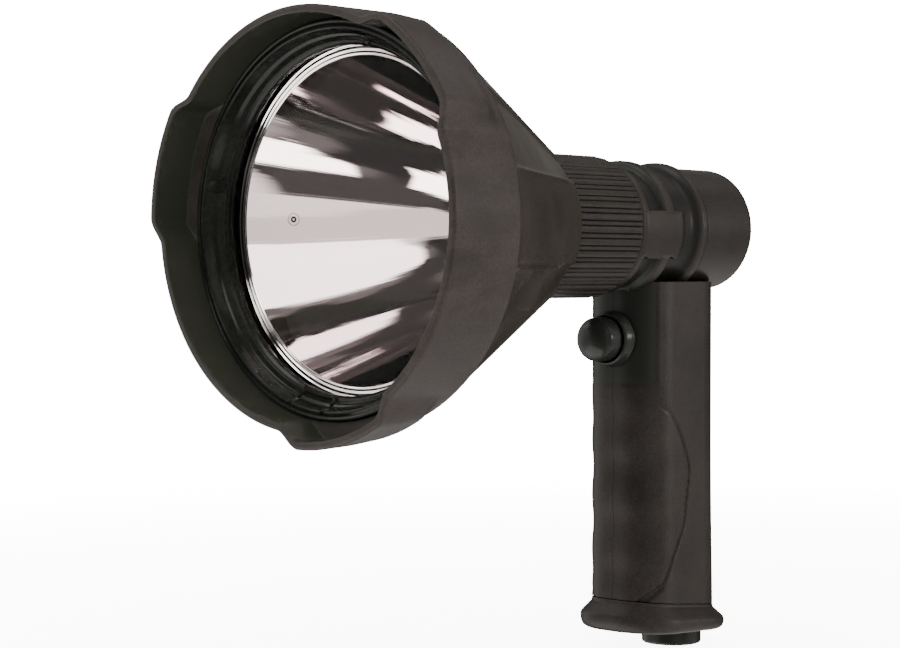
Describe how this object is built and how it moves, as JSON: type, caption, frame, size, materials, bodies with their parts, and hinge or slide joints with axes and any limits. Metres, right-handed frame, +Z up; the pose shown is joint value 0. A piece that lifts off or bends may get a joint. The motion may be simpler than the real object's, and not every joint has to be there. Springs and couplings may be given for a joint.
{
  "type": "led hand torch",
  "caption": "Pistol-grip LED torch with a wide lobed shroud, deep reflector, ribbed focus ring, push button in the grip and a turning dimmer cap behind.",
  "frame": {"origin": "centre of the port plug's flat end, on which the upright grip stands", "axes": "+Z up the grip, -Y the way the light points, +X to the holder's left"},
  "size_m": [0.1254, 0.1916, 0.2005],
  "materials": {
    "shroud_black": "moulded, satin",
    "shell_black": "moulded, semi-gloss",
    "inner_black": "moulded, gloss",
    "rubber_black": "matte",
    "reflector_mirror": "mirror",
    "clear_glass": "clear",
    "aluminium": "turned",
    "steel": "zinc plated",
    "board_white": "white solder mask",
    "board_green": "green solder mask",
    "phosphor": "silicone dome",
    "cell_wrap": "blue wrap over the can",
    "nickel": "nickel strip"
  },
  "bodies": {
    "torch": {"bumper": "shroud_black", "bezel_ring": "inner_black", "lens": "clear_glass", "lens_gasket": "rubber_black", "reflector": "reflector_mirror", "head_shell": "shell_black", "neck_tube": "aluminium", "neck_seal_1": "rubber_black", "neck_seal_2": "rubber_black", "handle_left": "shell_black", "handle_right": "shell_black", "handle_screw_1": "steel", "handle_screw_2": "steel", "handle_screw_3": "steel", "foot_cap": "shell_black", "charge_socket": "inner_black", "button_ring": "rubber_black", "button_nut": "steel", "button_spring": "steel", "switch_body": "inner_black", "battery_cell_1": "cell_wrap", "battery_cell_2": "cell_wrap", "terminal_strip_1": "nickel", "terminal_strip_2": "nickel", "bridge_strip": "nickel", "battery_tray": "inner_black", "driver_board": "board_green", "dimmer_pot": "steel", "dimmer_nut": "steel"},
    "focus_ring": {"focus_ring": "shell_black"},
    "led_carrier": {"heat_sink": "aluminium", "led_board": "board_white", "led_emitter": "phosphor", "focus_pin": "steel"},
    "button": {"button_cap": "rubber_black"},
    "dimmer": {"rear_cap": "shell_black", "dimmer_shaft": "steel"},
    "plug": {"port_plug": "rubber_black"}
  },
  "joints": [
    {"name": "focus_turn", "type": "hinge", "parent": "torch", "child": "focus_ring", "pos_m": [0, -0.0614, 0.14], "axis": [0, 1, 0], "range_deg": [0, 60]},
    {"name": "led_slide", "type": "slide", "parent": "torch", "child": "led_carrier", "axis": [0, -1, 0], "range_m": [0, 0.004]},
    {"name": "button_press", "type": "slide", "parent": "torch", "child": "button", "axis": [0, 1, 0], "range_m": [0, 0.0025], "stiffness_N_per_m": 400, "springref_m": -0.0015, "deforming": ["button_spring"]},
    {"name": "dimmer_turn", "type": "hinge", "parent": "torch", "child": "dimmer", "pos_m": [0, 0.0044, 0.14], "axis": [0, 1, 0], "range_deg": [0, 270]},
    {"name": "plug_pull", "type": "slide", "parent": "torch", "child": "plug", "axis": [0, 0, -1], "range_m": [0, 0.012]}
  ],
  "couplings": [
    {"joint": "led_slide", "follows": "focus_turn", "m_per_rad": 0.0038197}
  ]
}
